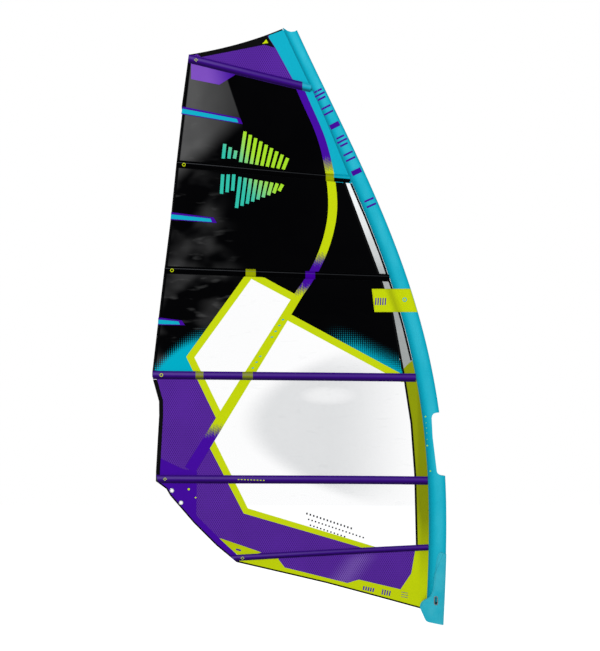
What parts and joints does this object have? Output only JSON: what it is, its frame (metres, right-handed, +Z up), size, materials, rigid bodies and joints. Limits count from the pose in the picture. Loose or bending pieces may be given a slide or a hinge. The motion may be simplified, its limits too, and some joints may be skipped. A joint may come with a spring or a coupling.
{
  "type": "windsurf sail",
  "caption": "Battened windsurf sail with a mast sleeve, boom cut-out, clear window, adjustable battens, clew eyelets and a tack pulley under a flap.",
  "frame": {"origin": "on the mast's axis at the bottom edge of the luff sleeve", "axes": "+Z up, +X towards the luff, so the leech is at -X, and Y across the sail with the belly at +Y"},
  "size_m": [2.3239, 0.1418, 4.717],
  "materials": {
    "black_xply": "satin laminated film",
    "purple_xply": "laminated film with a fine grid",
    "purple_patch": "layered sailcloth",
    "clear_film": "clear monofilm",
    "yellow_cloth": "woven polyester",
    "cyan_cloth": "woven polyester",
    "tape": "stitched tapes",
    "pocket_cloth": "woven polyester",
    "black_pocket_cloth": "woven polyester",
    "composite": "pultruded carbon and glass",
    "plastic": "moulded nylon",
    "steel": "stainless",
    "webbing": "woven webbing",
    "fairing": "padded cloth"
  },
  "bodies": {
    "lower_sail": {"tack_panel": "yellow_cloth", "clew_patch": "purple_patch", "window_lower": "clear_film", "ply_panel_lower": "purple_xply", "seam_tapes_lower": "tape", "luff_sleeve_lower": "cyan_cloth", "batten_5": "composite", "batten_6": "composite", "batten_pockets_lower": "pocket_cloth", "tensioner_housings_lower": "plastic", "clew_eyelets": "steel", "tack_fairing": "fairing", "tack_webbing": "webbing"},
    "middle_sail": {"film_middle": "black_xply", "window_middle": "clear_film", "seam_tapes_middle": "tape", "luff_sleeve_middle": "cyan_cloth", "sleeve_label": "yellow_cloth", "batten_4": "composite", "batten_pocket_4": "pocket_cloth", "tensioner_housing_4": "plastic", "mini_batten_3": "pocket_cloth"},
    "upper_sail": {"film_upper": "black_xply", "luff_window_upper": "clear_film", "seam_tapes_upper": "tape", "luff_sleeve_upper": "cyan_cloth", "batten_3": "composite", "batten_pocket_3": "black_pocket_cloth", "tensioner_housing_3": "plastic", "mini_batten_2": "pocket_cloth"},
    "head_sail": {"film_head": "black_xply", "head_panel": "purple_xply", "luff_panel_head": "cyan_cloth", "seam_tapes_head": "tape", "luff_sleeve_head": "cyan_cloth", "batten_1": "composite", "batten_2": "composite", "batten_pockets_head": "pocket_cloth", "tensioner_housings_head": "plastic", "mini_batten_1": "pocket_cloth", "head_cap": "plastic"},
    "tack_flap": {"tack_flap": "fairing", "flap_eyelet": "plastic"},
    "tack_pulley": {"pulley_frame": "steel"},
    "pulley_sheave_1": {"pulley_sheave_1": "plastic"},
    "pulley_sheave_2": {"pulley_sheave_2": "plastic"},
    "pulley_sheave_3": {"pulley_sheave_3": "plastic"},
    "tension_screw_1": {"tension_screw_1": "steel"},
    "tension_slider_1": {"tension_slider_1": "plastic"},
    "tension_screw_2": {"tension_screw_2": "steel"},
    "tension_slider_2": {"tension_slider_2": "plastic"},
    "tension_screw_3": {"tension_screw_3": "steel"},
    "tension_slider_3": {"tension_slider_3": "plastic"},
    "tension_screw_4": {"tension_screw_4": "steel"},
    "tension_slider_4": {"tension_slider_4": "plastic"},
    "tension_screw_5": {"tension_screw_5": "steel"},
    "tension_slider_5": {"tension_slider_5": "plastic"},
    "tension_screw_6": {"tension_screw_6": "steel"},
    "tension_slider_6": {"tension_slider_6": "plastic"}
  },
  "joints": [
    {"name": "twist_middle", "type": "hinge", "parent": "lower_sail", "child": "middle_sail", "pos_m": [-0.07196, 0.00917, 1.921], "axis": [0.1801, 0, -0.9837], "range_deg": [-3, 8], "stiffness_Nm_per_rad": 60},
    {"name": "twist_upper", "type": "hinge", "parent": "middle_sail", "child": "upper_sail", "pos_m": [-0.27725, 0.01039, 2.714], "axis": [0.3157, 0, -0.9489], "range_deg": [-3, 8], "stiffness_Nm_per_rad": 60},
    {"name": "twist_head", "type": "hinge", "parent": "upper_sail", "child": "head_sail", "pos_m": [-0.58516, 0.01092, 3.495], "axis": [0.4079, 0, -0.913], "range_deg": [-3, 8], "stiffness_Nm_per_rad": 60},
    {"name": "tack_flap_hinge", "type": "hinge", "parent": "lower_sail", "child": "tack_flap", "pos_m": [0.0304, 0, 0], "axis": [0.042, 0, 0.9991], "range_deg": [0, 105], "stiffness_Nm_per_rad": 0.2},
    {"name": "tack_pulley_swing", "type": "hinge", "parent": "lower_sail", "child": "tack_pulley", "pos_m": [-0.078, 0.01451, 0.098], "axis": [1, 0, 0], "range_deg": [-5, 5]},
    {"name": "pulley_sheave_1_spin", "type": "hinge", "parent": "tack_pulley", "child": "pulley_sheave_1", "pos_m": [-0.078, 0.00511, 0.062], "axis": [0, 1, 0], "continuous": true},
    {"name": "pulley_sheave_2_spin", "type": "hinge", "parent": "tack_pulley", "child": "pulley_sheave_2", "pos_m": [-0.078, 0.01451, 0.062], "axis": [0, 1, 0], "continuous": true},
    {"name": "pulley_sheave_3_spin", "type": "hinge", "parent": "tack_pulley", "child": "pulley_sheave_3", "pos_m": [-0.078, 0.02391, 0.062], "axis": [0, 1, 0], "continuous": true},
    {"name": "tension_screw_1_turn", "type": "hinge", "parent": "head_sail", "child": "tension_screw_1", "pos_m": [-1.98823, -0.00719, 4.479], "axis": [0.9719, 0.0318, -0.2331], "range_deg": [0, 4500]},
    {"name": "tension_slider_1_slide", "type": "slide", "parent": "head_sail", "child": "tension_slider_1", "axis": [0.9719, 0.0318, -0.2331], "range_m": [0, 0.012]},
    {"name": "tension_screw_2_turn", "type": "hinge", "parent": "head_sail", "child": "tension_screw_2", "pos_m": [-2.08205, -0.00702, 3.647], "axis": [0.9962, 0.0086, -0.0863], "range_deg": [0, 4500]},
    {"name": "tension_slider_2_slide", "type": "slide", "parent": "head_sail", "child": "tension_slider_2", "axis": [0.9962, 0.0086, -0.0863], "range_m": [0, 0.012]},
    {"name": "tension_screw_3_turn", "type": "hinge", "parent": "upper_sail", "child": "tension_screw_3", "pos_m": [-2.17675, -0.00651, 2.81], "axis": [0.9994, -0.0066, -0.0354], "range_deg": [0, 4500]},
    {"name": "tension_slider_3_slide", "type": "slide", "parent": "upper_sail", "child": "tension_slider_3", "axis": [0.9994, -0.0066, -0.0354], "range_m": [0, 0.012]},
    {"name": "tension_screw_4_turn", "type": "hinge", "parent": "middle_sail", "child": "tension_screw_4", "pos_m": [-2.272, -0.00588, 1.979], "axis": [0.9998, -0.0156, -0.0106], "range_deg": [0, 4500]},
    {"name": "tension_slider_4_slide", "type": "slide", "parent": "middle_sail", "child": "tension_slider_4", "axis": [0.9998, -0.0156, -0.0106], "range_m": [0, 0.012]},
    {"name": "tension_screw_5_turn", "type": "hinge", "parent": "lower_sail", "child": "tension_screw_5", "pos_m": [-2.24379, -0.0072, 1.157], "axis": [0.9999, 0.0092, -0.0065], "range_deg": [0, 4500]},
    {"name": "tension_slider_5_slide", "type": "slide", "parent": "lower_sail", "child": "tension_slider_5", "axis": [0.9999, 0.0092, -0.0065], "range_m": [0, 0.012]},
    {"name": "tension_screw_6_turn", "type": "hinge", "parent": "lower_sail", "child": "tension_screw_6", "pos_m": [-1.6, 0.02132, 0.533], "axis": [0.9963, 0.0665, 0.0547], "range_deg": [0, 4500]},
    {"name": "tension_slider_6_slide", "type": "slide", "parent": "lower_sail", "child": "tension_slider_6", "axis": [0.9963, 0.0665, 0.0547], "range_m": [0, 0.012]}
  ],
  "couplings": [
    {"joint": "twist_upper", "follows": "twist_middle", "ratio": 1},
    {"joint": "twist_head", "follows": "twist_middle", "ratio": 1},
    {"joint": "tension_screw_1_turn", "follows": "tension_slider_1_slide", "rad_per_m": 6283.2},
    {"joint": "tension_screw_2_turn", "follows": "tension_slider_2_slide", "rad_per_m": 6283.2},
    {"joint": "tension_screw_3_turn", "follows": "tension_slider_3_slide", "rad_per_m": 6283.2},
    {"joint": "tension_screw_4_turn", "follows": "tension_slider_4_slide", "rad_per_m": 6283.2},
    {"joint": "tension_screw_5_turn", "follows": "tension_slider_5_slide", "rad_per_m": 6283.2},
    {"joint": "tension_screw_6_turn", "follows": "tension_slider_6_slide", "rad_per_m": 6283.2}
  ]
}
